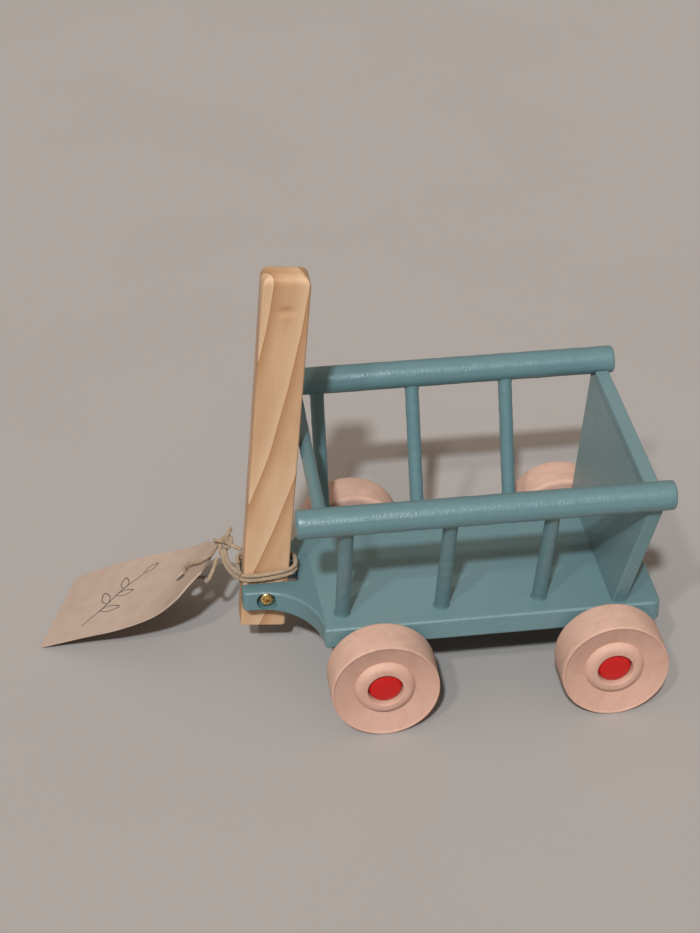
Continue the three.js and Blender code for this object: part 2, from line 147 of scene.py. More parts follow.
TO_RIGHT = Vector((0, 1, 0))
UP = Vector((0, 0, 1))

# ---------- Sizes that the boxes don't give, as in the CAD ----------

DECK_FRONT = -46.7
NOSE_HALF_WIDTH = 9.3
SHOULDER_LENGTH = 16.8
SLOT_HALF_WIDTH = 4.35
SLOT_REAR = -51.4
PIVOT = Vector((-60.8, 0, (DECK_TOP + DECK_BOTTOM) / 2))
STICK_LEAN = math.radians(5.2)
STICK_WIDTH = 12.7
STICK_THICKNESS = 7.9
STICK_TOP = 99.1
STICK_BOTTOM = -12.3
COUNTERBORE_RADIUS = 2.9
COUNTERBORE_DEPTH = 2.2
SPINDLE_RADIUS = 2
SPINDLE_FOOT_Y = 21.7
SPINDLE_XS = (-41.1, -13.5, 13.8)
BOARD_THICKNESS = 4
BOARD_FOOT_X = 33.3
BOARD_TOP_X = 39.9
BOARD_TOP = 66.4
BOARD_FOOT_HALF_WIDTH = 27.1
BOARD_TOP_HALF_WIDTH = 36.6
WHEEL_CREST_RADIUS = 14.6
WHEEL_TREAD = 35.5
WHEEL_BORE = 2.25
DISH_FLOOR = 39.75
BOSS_RADIUS = 8.2
BOSS_FACE_RADIUS = 6.2
BOSS_FACE = 41.6
HUB_HOLE_RADIUS = 4.9
HUB_HOLE_DEPTH = 4.6
CAP_RIM = 39.5
TWINE_RADIUS = 0.6
TAG_THICKNESS = 0.5
TAG_WIDTH = 34
TAG_CLIP = 7.5
TAG_HOLE_RADIUS = 2.5
TAG_HOLE_INSET = 13
TAG_CORNER = Vector((-125.6, 9.6, 0.35))
TAG_HEADING = math.radians(-18.4)
# The near edge bends up through these places and heights. The far edge is twisted higher at first, level with
# the near one at TAG_LEVEL, and lower beyond it.
TAG_ALONG = (0, 12.8, 24.7, 36.1, 47.5)
TAG_HEIGHTS = (0, 5.3, 10.1, 16.9, 29.4)
TAG_TWIST = 0.15
TAG_LEVEL = 33
KNOT = Vector((-71.4, 8.1, 32.9))

# ---------- Sizes that only the looks have ----------

STICK_TOP_ROUND = 3.2  # the top's corners, across the stick's width
STICK_TOP_EASE = 2.6  # the top's edges, through its thickness
STICK_FOOT_EASE = 0.5
PIN_KNOT_X = 0.3
PIN_KNOT_HEIGHT = 89.0
CREASE = 38.0  # degrees: an edge sharper than this isn't smoothed over


# ---------- Curves ----------


def smooth_path(points, steps, closed=False):
    """A centripetal Catmull-Rom curve through the points, with that many steps on each span."""
    points = [Vector(p) for p in points]
    if closed:
        ring = [points[-1], *points, points[0], points[1]]
    else:
        ring = [2 * points[0] - points[1], *points, 2 * points[-1] - points[-2]]
    path = []
    for a, b, c, d in zip(ring, ring[1:], ring[2:], ring[3:]):
        t1 = math.sqrt((b - a).length)
        t2 = t1 + math.sqrt((c - b).length)
        t3 = t2 + math.sqrt((d - c).length)
        for i in range(steps):
            t = t1 + (t2 - t1) * i / steps
            ab = a.lerp(b, t / t1)
            bc = b.lerp(c, (t - t1) / (t2 - t1))
            cd = c.lerp(d, (t - t2) / (t3 - t2))
            abc = ab.lerp(bc, t / t2)
            bcd = bc.lerp(cd, (t - t1) / (t3 - t1))
            path.append(abc.lerp(bcd, (t - t1) / (t2 - t1)))
    if not closed:
        path.append(points[-1])
    return path


def spaced(path, step):
    """The path again, with its points about one step apart."""
    along = [0.0]
    for a, b in zip(path, path[1:]):
        along.append(along[-1] + (b - a).length)
    count = max(2, round(along[-1] / step))
    made, k = [], 0
    for i in range(count + 1):
        want = along[-1] * i / count
        while k < len(path) - 2 and along[k + 1] < want:
            k += 1
        share = (want - along[k]) / max(along[k + 1] - along[k], 1e-9)
        made.append(path[k].lerp(path[k + 1], min(1.0, share)))
    return made


def arc(centre, radii, start, end, steps):
    """Points of an elliptical arc in the plane, its angles in degrees."""
    found = []
    for i in range(steps + 1):
        angle = math.radians(start + (end - start) * i / steps)
        found.append((centre[0] + radii[0] * math.cos(angle), centre[1] + radii[1] * math.sin(angle)))
    return found


# ---------- Meshes ----------


def join_rings(bm, rings):
    """Faces between each ring of vertices and the next one."""
    for low, high in zip(rings, rings[1:]):
        for k in range(len(low)):
            j = (k + 1) % len(low)
            bm.faces.new((low[k], low[j], high[j], high[k]))


def lathe(bm, profile, sides, place=None):
    """Turns a profile of (radius, height) pairs round the Z axis into a closed body, and places it."""
    place = place or Matrix.Identity(4)
    rings = []
    for radius, height in profile:
        if radius < 1e-6:
            rings.append([bm.verts.new(place @ Vector((0, 0, height)))])
            continue
        turned = []
        for i in range(sides):
            angle = 2 * math.pi * i / sides
            point = Vector((radius * math.cos(angle), radius * math.sin(angle), height))
            turned.append(bm.verts.new(place @ point))
        rings.append(turned)
    for low, high in zip(rings, rings[1:]):
        for i in range(sides):
            j = (i + 1) % sides
            corners = [low[i % len(low)], low[j % len(low)], high[j % len(high)], high[i % len(high)]]
            unique = list(dict.fromkeys(corners))
            if len(unique) > 2:
                bm.faces.new(unique)
    return rings


def frames_along(path):
    """A right and an up direction for each point of a path, turning as little as possible."""
    found = []
    right = None
    for i, point in enumerate(path):
        ahead = path[min(i + 1, len(path) - 1)] - path[max(i - 1, 0)]
        ahead.normalize()
        if right is None:
            right = ahead.orthogonal().normalized()
        right = (right - ahead * right.dot(ahead)).normalized()
        found.append((right.copy(), ahead.cross(right)))
    return found


def tube(bm, path, section, sides, ends=True):
    """A closed tube along a path. section(distance, angle) is the radius there."""
    rings = []
    distance = 0.0
    for i, (point, (right, up)) in enumerate(zip(path, frames_along(path))):
        if i:
            distance += (point - path[i - 1]).length
        ring = []
        for k in range(sides):
            angle = 2 * math.pi * k / sides
            radius = section(distance, angle)
            ring.append(bm.verts.new(point + (right * math.cos(angle) + up * math.sin(angle)) * radius))
        rings.append(ring)
    join_rings(bm, rings)
    if ends:
        for ring, reach in ((rings[0], path[0] - path[1]), (rings[-1], path[-1] - path[-2])):
            middle = sum((v.co for v in ring), Vector()) / sides
            tip = bm.verts.new(middle + reach.normalized() * TWINE_RADIUS * 0.4)
            for k in range(sides):
                bm.faces.new((ring[k], ring[(k + 1) % sides], tip))
    else:
        join_rings(bm, [rings[-1], rings[0]])


def prism(bm, outline, low, high, ease, segments=4):
    """An outline in the XY plane made a plate from low to high, with both rims eased."""
    base = [bm.verts.new((x, y, low)) for x, y in outline]
    face = bm.faces.new(base)
    grown = bmesh.ops.extrude_face_region(bm, geom=[face])
    top = [v for v in grown["geom"] if isinstance(v, bmesh.types.BMVert)]
    bmesh.ops.translate(bm, verts=top, vec=(0, 0, high - low))
    bmesh.ops.recalc_face_normals(bm, faces=bm.faces)
    rims = [e for e in bm.edges if abs(e.verts[0].co.z - e.verts[1].co.z) < 1e-6]
    bmesh.ops.bevel(
        bm, geom=rims, offset=ease, offset_type="OFFSET", segments=segments, profile=0.5, affect="EDGES"
    )


def finish_mesh(name, bm, material, matrix=None, sharp=CREASE, weighted=False):
    """Makes the object. The mesh is in millimetres, in the wagon's place or in the matrix's own place."""
    bmesh.ops.recalc_face_normals(bm, faces=bm.faces)
    bm.transform(TO_FRAME if matrix is None else Matrix.Scale(MM, 4))
    mesh = bpy.data.meshes.new(name)
    bm.to_mesh(mesh)
    bm.free()
    mesh.polygons.foreach_set("use_smooth", [True] * len(mesh.polygons))
    mesh.set_sharp_from_angle(angle=math.radians(sharp))
    mesh.materials.append(material)
    obj = bpy.data.objects.new(name, mesh)
    bpy.context.scene.collection.objects.link(obj)
    if matrix is not None:
        place = TO_FRAME @ matrix
        obj.matrix_world = Matrix.LocRotScale(place.to_translation(), matrix.to_quaternion(), None)
    if weighted:
        modifier = obj.modifiers.new("weighted", "WEIGHTED_NORMAL")
        modifier.keep_sharp = True
    return obj


def dress(obj, body, slot, *nodes):
    """The piece rides on the body and stands for the CAD nodes. The slot is not used."""
    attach(obj, body)
    if nodes:
        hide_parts(*nodes)
    return obj


def cut(obj, cutter_bm):
    """Takes a closed body, in millimetres in the wagon's place, out of an object."""
    cutter = finish_mesh("cutter", cutter_bm, obj.data.materials[0])
    modifier = obj.modifiers.new("cut", "BOOLEAN")
    modifier.operation = "DIFFERENCE"
    modifier.solver = "EXACT"
    modifier.object = cutter
    bpy.context.view_layer.update()
    evaluated = obj.evaluated_get(bpy.context.evaluated_depsgraph_get())
    mesh = bpy.data.meshes.new_from_object(evaluated)
    obj.modifiers.clear()
    obj.data = mesh
    bpy.data.objects.remove(cutter)


def along(origin, direction):
    """A matrix that stands the Z axis along a direction, from an origin."""
    turn = UP.rotation_difference(direction)
    return Matrix.Translation(origin) @ turn.to_matrix().to_4x4()


# ---------- Materials ----------


class Shader:
    """The node tree of one material. Coordinates are the object's own, in millimetres."""

    def __init__(self, name):
        self.material = bpy.data.materials.new(name)
        self.material.use_nodes = True
        self.tree = self.material.node_tree
        self.tree.nodes.clear()
        self.surface = self.node("BsdfPrincipled")
        output = self.node("OutputMaterial")
        self.tree.links.new(self.surface.outputs[0], output.inputs[0])
        own = self.node("TexCoord").outputs["Object"]
        self.coords = self.vector("SCALE", own, factor=1 / MM)

    def node(self, kind, **settings):
        made = self.tree.nodes.new("ShaderNode" + kind)
        for key, value in settings.items():
            setattr(made, key, value)
        return made

    def put(self, socket, value):
        if isinstance(value, bpy.types.NodeSocket):
            self.tree.links.new(value, socket)
        else:
            socket.default_value = value

    def set(self, **values):
        names = {
            "color": "Base Color",
            "roughness": "Roughness",
            "metallic": "Metallic",
            "normal": "Normal",
            "specular": "Specular IOR Level",
            "coat": "Coat Weight",
            "coat_roughness": "Coat Roughness",
            "sheen": "Sheen Weight",
            "subsurface": "Subsurface Weight",
        }
        for key, value in values.items():
            self.put(self.surface.inputs[names[key]], value)

    def vector(self, operation, a, b=None, factor=None):
        made = self.node("VectorMath", operation=operation)
        self.put(made.inputs[0], a)
        if b is not None:
            self.put(made.inputs[1], b)
        if factor is not None:
            made.inputs["Scale"].default_value = factor
        return made.outputs["Value"] if operation == "DISTANCE" else made.outputs[0]

    def math(self, operation, a, b=0.0):
        made = self.node("Math", operation=operation)
        self.put(made.inputs[0], a)
        self.put(made.inputs[1], b)
        return made.outputs[0]

    def noise(self, size, stretch=(1, 1, 1), detail=2.0, distortion=0.0):
        """Noise from 0 to 1 whose features are about that many millimetres, longer along stretched axes."""
        scaled = self.vector("MULTIPLY", self.coords, tuple(1 / (size * s) for s in stretch))
        made = self.node("TexNoise", noise_dimensions="3D")
        self.put(made.inputs["Vector"], scaled)
        made.inputs["Scale"].default_value = 1.0
        made.inputs["Detail"].default_value = detail
        made.inputs["Distortion"].default_value = distortion
        return made.outputs["Fac"]

    def spread(self, value, low, high, to_low=0.0, to_high=1.0):
        """The value's range low to high, stretched to another range and held there."""
        made = self.node("MapRange", clamp=True)
        for socket, v in zip(made.inputs, (value, low, high, to_low, to_high)):
            self.put(socket, v)
        return made.outputs[0]

    def mix(self, factor, a, b, blend="MIX"):
        made = self.node("Mix", data_type="RGBA", blend_type=blend)
        self.put(made.inputs["Factor"], factor)
        for socket, value in zip([s for s in made.inputs if s.type == "RGBA"], (a, b)):
            self.put(socket, value if isinstance(value, bpy.types.NodeSocket) else (*value, 1.0))
        return [s for s in made.outputs if s.type == "RGBA"][0]

    def tint(self, color, mask, amount, other):
        """The colour, moved that much towards another one where the mask is 1."""
        return self.mix(self.math("MULTIPLY", mask, amount), color, other)

    def bump(self, height, distance, normal=None):
        """A bump of that many millimetres for a height of 1."""
        made = self.node("Bump")
        made.inputs["Distance"].default_value = distance * MM
        self.put(made.inputs["Height"], height)
        if normal is not None:
            self.put(made.inputs["Normal"], normal)
        return made.outputs[0]

    def axes(self, coords=None):
        made = self.node("SeparateXYZ")
        self.put(made.inputs[0], coords or self.coords)
        return made.outputs


TEAL = (0.106, 0.197, 0.216)
TEAL_LIGHT = (0.130, 0.226, 0.244)
TEAL_DEEP = (0.080, 0.168, 0.190)


def paint_material(name, grain):
    """Brushed satin paint over wood. grain is how far the streaks run along each axis."""
    s = Shader(name)
    cloud = s.spread(s.noise(14, detail=3), 0.3, 0.7)
    streak = s.spread(s.noise(0.9, grain, detail=3), 0.3, 0.7)
    color = s.mix(s.math("MULTIPLY", cloud, 0.45), TEAL, TEAL_LIGHT)
    color = s.tint(color, streak, 0.22, TEAL_DEEP)
    # Convex edges are painted lighter: a painted highlight along the eased edges.
    edge = s.spread(s.node("NewGeometry").outputs["Pointiness"], 0.52, 0.6)
    color = s.tint(color, edge, 0.35, (0.22, 0.33, 0.345))
    peel = s.noise(0.75, detail=2)
    speck = s.spread(s.noise(0.5, detail=1), 0.7, 0.78)
    normal = s.bump(streak, 0.035)
    normal = s.bump(peel, 0.09, normal)
    normal = s.bump(speck, 0.05, normal)
    rough = s.spread(s.noise(2.5, detail=2), 0.3, 0.7, 0.3, 0.43)
    s.set(color=color, roughness=rough, normal=normal, specular=0.5, coat=0.15, coat_roughness=0.22)
    return s.material


def beech_material(name, turn=0.0):
    """Pale turned beech, its grain turned by an angle: broad figure, dark flecks and fine lathe rings."""
    s = Shader(name)
    turned = s.node("VectorRotate", rotation_type="Y_AXIS")
    s.put(turned.inputs["Vector"], s.coords)
    turned.inputs["Angle"].default_value = turn
    s.coords = turned.outputs[0]
    x, y, z = s.axes()
    figure = s.spread(s.noise(3.2, (1, 1, 5), detail=3, distortion=0.6), 0.3, 0.7)
    fibre = s.spread(s.noise(0.28, (1, 1, 16), detail=2), 0.35, 0.68)
    fleck = s.spread(s.noise(0.45, (1, 1, 5), detail=1), 0.66, 0.74)
    color = s.mix(figure, (0.655, 0.415, 0.325), (0.57, 0.345, 0.265))
    color = s.tint(color, fibre, 0.22, (0.69, 0.49, 0.385))
    color = s.tint(color, fleck, 0.28, (0.36, 0.2, 0.14))
    # The turned faces are a little pinker than the tread and are also painted darker: painted shade that
    # tones down how brightly the lamps light them.
    face = s.math("ABSOLUTE", s.axes(s.node("TexCoord").outputs["Normal"])[1])
    color = s.mix(s.spread(face, 0.35, 0.9), color, s.mix(1.0, color, (0.86, 0.815, 0.81), "MULTIPLY"))
    lathe_pitch = 2 * math.pi / 9
    radius = s.math("SQRT", s.math("ADD", s.math("POWER", x, 2.0), s.math("POWER", z, 2.0)))
    ring = s.math("SINE", s.math("MULTIPLY", radius, 2 * math.pi / lathe_pitch))
    normal = s.bump(ring, 0.002)
    normal = s.bump(fibre, 0.02, normal)
    rough = s.spread(figure, 0, 1, 0.52, 0.62)
    s.set(color=color, roughness=rough, normal=normal, specular=0.32, subsurface=0.03)
    s.surface.inputs["Subsurface Radius"].default_value = (0.0012, 0.0006, 0.0003)
    return s.material


def pine_material():
    """Planed pine: wide year rings that cross the stick at a slant, each with a sharp latewood edge."""
    s = Shader("planed_pine")
    x, y, z = s.axes()
    ring_width = 9.49
    ring_start = 26.2 + 4 * ring_width
    foot_slope = 0.365
    upright_at = 246.5 / 2
    # The rings bend: they cross at foot_slope at the pivot and would stand upright at the height upright_at.
    bend = s.math("DIVIDE", s.math("POWER", z, 2.0), 2 * upright_at)
    slant = s.math("MULTIPLY", s.math("SUBTRACT", z, bend), foot_slope)
    wander = s.math("MULTIPLY", s.noise(16, (1, 1, 2), detail=2), 1.6)
    ring = s.math("ADD", s.math("SUBTRACT", x, slant), s.math("MULTIPLY", y, 0.55))
    ring = s.math("ADD", ring, wander)
    share = s.math("FRACT", s.math("DIVIDE", s.math("ADD", ring, ring_start), ring_width))
    late = s.spread(share, 0.0, 0.38, 1.0, 0.0)
    late = s.math("POWER", late, 1.3)
    rise = s.spread(share, 0.975, 1.0)
    late = s.math("MAXIMUM", late, s.math("MULTIPLY", rise, 0.8))
    line = s.spread(share, 0.0, 0.035, 1.0, 0.0)
    fibre = s.spread(s.noise(0.3, (1, 1, 26), detail=3), 0.3, 0.7)
    blush = s.spread(s.noise(9, (1, 1, 3), detail=2), 0.3, 0.7)
    pale, warm, rust = (0.62, 0.395, 0.235), (0.515, 0.300, 0.165), (0.40, 0.195, 0.088)
    color = s.mix(blush, pale, warm)
    color = s.tint(color, fibre, 0.25, (0.44, 0.25, 0.13))
    early = s.math("POWER", s.spread(share, 0.5, 0.97), 1.5)
    color = s.tint(color, early, 0.6, (0.69, 0.475, 0.305))
    color = s.tint(color, late, 0.85, rust)
    color = s.tint(color, line, 0.35, (0.26, 0.12, 0.05))
    # A pin knot near the top of the front face.
    knot = s.vector("DISTANCE", s.coords, (PIN_KNOT_X, -STICK_THICKNESS / 2, PIN_KNOT_HEIGHT))
    eye = s.spread(knot, 0.3, 2.6, 1.0, 0.0)
    color = s.tint(color, eye, 0.4, (0.45, 0.2, 0.11))
    normal = s.bump(fibre, 0.03)
    normal = s.bump(late, 0.05, normal)
    rough = s.spread(late, 0, 1, 0.46, 0.36)
    s.set(color=color, roughness=rough, normal=normal, specular=0.4)
    return s.material


def red_material():
    s = Shader("red_lacquer")
    cloud = s.noise(2.2, detail=2)
    color = s.mix(cloud, (0.44, 0.005, 0.005), (0.55, 0.008, 0.007))
    normal = s.bump(s.noise(1.3, detail=1), 0.05)
    s.set(color=color, roughness=0.2, normal=normal, specular=0.3, coat=0.3, coat_roughness=0.08)
    return s.material


def brass_material():
    """Yellow passivated steel, with fine scratches and some tarnish."""
    s = Shader("yellow_brass")
    tarnish = s.spread(s.noise(0.8, detail=3), 0.4, 0.7)
    scratch = s.noise(0.12, (9, 1, 1), detail=2)
    color = s.mix(tarnish, (0.80, 0.60, 0.27), (0.55, 0.38, 0.16))
    rough = s.spread(scratch, 0.3, 0.7, 0.22, 0.42)
    s.set(color=color, metallic=1.0, roughness=rough, normal=s.bump(scratch, 0.02))
    return s.material


def twine_material():
    """Natural cotton twine: matt, with loose fibres and painted shade in the lay of its strands."""
    s = Shader("cotton_twine")
    cloud = s.spread(s.noise(2.4, detail=3), 0.3, 0.7)
    fibre = s.noise(0.16, detail=3)
    # The hollows between the strands are painted darker: painted shade in the lay of the twine.
    hollow = s.spread(s.node("NewGeometry").outputs["Pointiness"], 0.42, 0.52)
    color = s.mix(cloud, (0.31, 0.215, 0.14), (0.39, 0.285, 0.195))
    color = s.mix(s.math("SUBTRACT", 1.0, hollow), color, (0.2, 0.135, 0.085))
    s.set(color=color, roughness=0.9, normal=s.bump(fibre, 0.12), specular=0.15, sheen=0.25)
    return s.material


def card_material():
    """Uncoated card: warm and pinkish, with a pulp mottle and short paper fibres."""
    s = Shader("uncoated_card")
    mottle = s.spread(s.noise(5, detail=3), 0.3, 0.7)
    pulp = s.noise(0.35, detail=3)
    fibre = s.spread(s.noise(0.35, (5, 1, 1), detail=1), 0.68, 0.76)
    color = s.mix(mottle, (0.45, 0.335, 0.27), (0.50, 0.38, 0.31))
    color = s.mix(s.spread(pulp, 0.35, 0.65, 0, 0.25), color, (0.40, 0.29, 0.22))
    color = s.tint(color, fibre, 0.35, (0.30, 0.2, 0.14))
    normal = s.bump(pulp, 0.03)
    s.set(color=color, roughness=0.82, normal=normal, specular=0.2)
    return s.material


def ink_material():
    s = Shader("printed_ink")
    wear = s.spread(s.noise(0.5, detail=3), 0.35, 0.75)
    s.set(color=s.mix(wear, (0.055, 0.05, 0.05), (0.16, 0.13, 0.115)), roughness=0.6, specular=0.2)
    return s.material


def floor_material():
    s = Shader("pale_floor")
    cloud = s.noise(120, detail=3)
    color = s.mix(cloud, (0.365, 0.338, 0.325), (0.385, 0.360, 0.347))
    s.set(color=color, roughness=0.75, specular=0.2, normal=s.bump(s.noise(1.2, detail=2), 0.02))
    return s.material


paint_flat = paint_material("teal_paint_flat", (24, 1, 1))
paint_round = paint_material("teal_paint_round", (30, 1, 1))
paint_upright = paint_material("teal_paint_upright", (1, 1, 20))
beech = beech_material("turned_beech")
WHEEL_TURNS = {
    "wheel_front_left": 0.35,
    "wheel_front_right": 2.2,
    "wheel_rear_left": -0.5,
    "wheel_rear_right": 1.1,
}
wheel_beech = {node: beech_material("beech_" + node, turn) for node, turn in WHEEL_TURNS.items()}
pine = pine_material()
red = red_material()
brass = brass_material()
twine = twine_material()
card = card_material()
ink = ink_material()


# ---------- Twine ----------

TWIST_PITCH = 4.2
TWINE_SIDES = 14
TWINE_STEP = 0.28


def twine_section(distance, angle):
    """The radius of two strands laid round each other."""
    turn = 2 * math.pi * distance / TWIST_PITCH
    lobe = math.cos(angle - turn) ** 2
    return TWINE_RADIUS * (0.85 + 0.15 * lobe)


def twine_body(bm, path):
    tube(bm, spaced(path, TWINE_STEP), twine_section, TWINE_SIDES)


# ---------- Where the card lies ----------


def tag_point(along_card, across, above=0.0):
    """A point of the tag from its distance along the card, across it and above its lower face."""
    share = max(0.0, min(1.0, along_card / TAG_LENGTH)) * (len(TAG_LINE) - 1)
    k = min(int(share), len(TAG_LINE) - 2)
    point = TAG_LINE[k].lerp(TAG_LINE[k + 1], share - k)
    ahead = (TAG_LINE[min(k + 2, len(TAG_LINE) - 1)] - TAG_LINE[max(k - 1, 0)]).normalized()
    up = Vector((-ahead.z, 0, ahead.x))
    flat = point + up * above + Vector((0, across, 0))
    flat.z += across / TAG_WIDTH * TAG_TWIST * flat.x * (1 - (flat.x / TAG_LEVEL) ** 2)
    return TAG_PLACE @ flat


TAG_PLACE = Matrix.Translation(TAG_CORNER) @ Matrix.Rotation(TAG_HEADING, 4, "Z")
TAG_LINE = spaced(smooth_path([(x, 0, z) for x, z in zip(TAG_ALONG, TAG_HEIGHTS)], 40), 0.5)
TAG_LENGTH = sum((b - a).length for a, b in zip(TAG_LINE, TAG_LINE[1:]))
# The card's hole, and its directions there: along the card, out of its upper face and across it.
hole_at = TAG_LENGTH - TAG_HOLE_INSET
hole = tag_point(hole_at, TAG_WIDTH / 2, TAG_THICKNESS)
hole_ahead = (tag_point(hole_at + 0.5, TAG_WIDTH / 2) - tag_point(hole_at - 0.5, TAG_WIDTH / 2)).normalized()
hole_slant = tag_point(hole_at, TAG_WIDTH) - tag_point(hole_at, 0)
hole_up = hole_ahead.cross(hole_slant).normalized()
hole_across = hole_up.cross(hole_ahead)

# ---------- The twine's free tail ---------------------------------------

# From the knot along the card's upper face, down through the hole and back under the card's end to the knot.
# Each point is along the card towards the knot, across it and out of its upper face, from the hole's middle.
TAIL_ROUTE = [
    (15.2, -2.1, 2.0),
    (13.3, -2.1, 1.7),
    (11.0, -2.1, 1.6),
    (8.6, -1.7, 1.6),
    (6.3, -0.8, 2.0),
    (4.1, -0.1, 2.25),
    (2.33, 0, 1.5),
    (1.6, 0, -0.25),
    (2.33, -0.1, -2.0),
    (4.1, -0.5, -2.85),
    (6.2, -1.5, -3.3),
    (8.1, -3.6, -3.4),
    (9.6, -6.3, -3.1),
    (11.4, -8.4, -2.5),
    (13.5, -8.7, -1.5),
    (15.2, -7.2, -0.4),
    (16.8, -5.1, 1.0),
]


def tail_point(ahead, across, above):
    return hole + hole_ahead * ahead + hole_across * across + hole_up * above


tail_path = spaced(smooth_path([tail_point(*p) for p in TAIL_ROUTE], 12), TWINE_STEP)
bm = bmesh.new()
tube(bm, tail_path, twine_section, TWINE_SIDES)
tail = dress(finish_mesh("twine_tail_cord", bm, twine), "wagon", "twine", "twine_tail")

# ---------- Knot ----------


def make_knot():
    """An overhand knot pulled half tight, which is a trefoil curve, and its short loose end."""
    bm = bmesh.new()
    size, lobes, deep, tall = 0.98, 1.7, 1.15, 1.2
    steps = 60
    points = []
    for i in range(steps):
        t = 2 * math.pi * i / steps
        x = math.sin(t) + lobes * math.sin(2 * t)
        y = -math.sin(3 * t) * deep
        z = (math.cos(t) - lobes * math.cos(2 * t)) * tall
        points.append(KNOT + Vector((x, y, z)) * size)
    tube(bm, points, twine_section, TWINE_SIDES, ends=False)
    loose_end = [(0.6, 0.1, 0.8), (1.2, 0.2, 2.1), (1.7, 0.3, 3.5), (2.5, 0.4, 5.2)]
    twine_body(bm, smooth_path([KNOT + Vector(p) for p in loose_end], 8))
    return dress(finish_mesh("twine_overhand_knot", bm, twine), "wagon", "twine", "twine_knot")


knot = make_knot()

# ---------- The wraps round the stick, and their leads to the knot ----------

LOOP_HALF_X = STICK_WIDTH / 2 + TWINE_RADIUS + 0.5
LOOP_HALF_Y = STICK_THICKNESS / 2 + TWINE_RADIUS + 0.45
LOOP_SHIFT = 0.3  # towards the rear, as the stick leans
LOOP_RISE = 5.1  # above the pivot
LOOP_STEP = 1.5  # from one turn to the next


def loop_path():
    """Two slack turns of twine round the stick, bulging to the rear and hanging lowest behind the stick."""
    points = []
    per_turn = 32
    for i in range(2 * per_turn + 1):
        angle = 2 * math.pi * i / per_turn + math.pi
        across, deep = math.cos(angle), math.sin(angle)
        # A circle drawn out to a rounded rectangle, slack at the rear and sagging most on the far side.
        square = (abs(across) ** 5 + abs(deep) ** 5) ** (-1 / 5)
        bulge = across**2 * (1.2 - 0.8 * deep) if across > 0 else 0
        sag = 0.8 if deep < 0 else 1.8 + 1.9 * across
        x = (LOOP_HALF_X + bulge) * across * square + LOOP_SHIFT
        rise = LOOP_RISE + LOOP_STEP * i / per_turn - sag * deep**2 + 0.5 * across
        points.append(PIVOT + Vector((x, LOOP_HALF_Y * deep * square, rise)))
    return points


bm = bmesh.new()
twine_body(bm, loop_path())
loop = dress(finish_mesh("twine_wraps", bm, twine), "pull_stick", "twine", "twine_loop")
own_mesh(loop)

LEADS = {
    "front_high": [(-67.6, -4.7, 31.4), (-69.3, -1.5, 30.9), (-70.6, 2.6, 30.8), (-71.1, 6.3, 32.0)],
    "front_low": [(-68.2, -4.0, 29.4), (-69.9, -0.8, 29.1), (-71.4, 3.2, 29.7), (-71.9, 6.6, 31.6)],
    "back": [(-66.5, 5.1, 32.6), (-68.5, 5.9, 33.3), (-70.5, 7.6, 33.9)],
}
for name, points in LEADS.items():
    bm = bmesh.new()
    twine_body(bm, smooth_path(points, 10))
    lead = finish_mesh("twine_lead_" + name, bm, twine)
    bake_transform(lead)


# ---------- Deck ----------


def deck_outline():
    """The deck seen from above: from the slot round the left prong, side and rear corner, and mirrored."""
    tip = 1.5
    corner = 2.5
    shoulder_x = DECK_FRONT - SHOULDER_LENGTH
    shoulder_width = DECK_HALF_WIDTH - NOSE_HALF_WIDTH
    half = [(SLOT_REAR, -SLOT_HALF_WIDTH)]
    half += [(NOSE_FRONT, -SLOT_HALF_WIDTH)]
    half += arc((NOSE_FRONT + tip, -NOSE_HALF_WIDTH + tip), (tip, tip), 180, 270, 6)
    half += arc((shoulder_x, -DECK_HALF_WIDTH), (SHOULDER_LENGTH, shoulder_width), 90, 0, 28)[:-1]
    half += [(DECK_FRONT, -DECK_HALF_WIDTH + 0.5), (DECK_FRONT + 0.5, -DECK_HALF_WIDTH)]
    half += arc((DECK_REAR - corner, -DECK_HALF_WIDTH + corner), (corner, corner), 270, 360, 8)
    return half + [(x, -y) for x, y in reversed(half)]


def screw_bore(radius, start, end):
    bm = bmesh.new()
    place = along(Vector((PIVOT.x, start, PIVOT.z)), TO_RIGHT)
    lathe(bm, [(0, 0), (radius, 0), (radius, end - start), (0, end - start)], 48, place)
    return bm


bm = bmesh.new()
prism(bm, deck_outline(), DECK_BOTTOM, DECK_TOP, ease=0.75)
deck = finish_mesh("deck_board", bm, paint_flat)
cut(deck, screw_bore(COUNTERBORE_RADIUS, -NOSE_HALF_WIDTH - 1, -NOSE_HALF_WIDTH + COUNTERBORE_DEPTH))
deck.data.set_sharp_from_angle(angle=math.radians(CREASE))
deck.modifiers.new("weighted", "WEIGHTED_NORMAL").keep_sharp = True
dress(deck, "wagon", "blue_paint", "deck")

# ---------- Rails, spindles and cross bar ----------


def rod_profile(length, radius, ease=0.3, step=0.4):
    """A round rod's profile with rounded ends, with rings about one step apart."""
    found = [(0, 0), (radius - ease, 0)]
    found += arc((radius - ease, ease), (ease, ease), -90, 0, 6)[1:]
    count = max(2, round((length - 2 * ease) / step))
    for i in range(1, count):
        found.append((radius, ease + (length - 2 * ease) * i / count))
    found += arc((radius - ease, length - ease), (ease, ease), 0, 90, 6)
    return found + [(0, length)]


def roughen(bm, amount, size, seed):
    """Moves every vertex a little along its normal, so that nothing is perfectly round or flat."""
    bmesh.ops.recalc_face_normals(bm, faces=bm.faces)
    bm.normal_update()
    for vert in bm.verts:
        vert.co += vert.normal * amount * noise.noise(vert.co / size + Vector((seed, 0, 0)))


for side, sign in SIDES.items():
    bm = bmesh.new()
    low, high = box_mm("rail_" + side)
    start = Vector((low.x, sign * RAIL_Y, RAIL_Z))
    lathe(bm, rod_profile(high.x - low.x, RAIL_RADIUS, ease=0.9, step=1.2), 56, along(start, TO_REAR))
    roughen(bm, amount=0.09, size=4, seed=7 * sign)
    rail = finish_mesh("rail_rod_" + side, bm, paint_round)
    dress(rail, "wagon", "blue_paint", "rail_" + side)

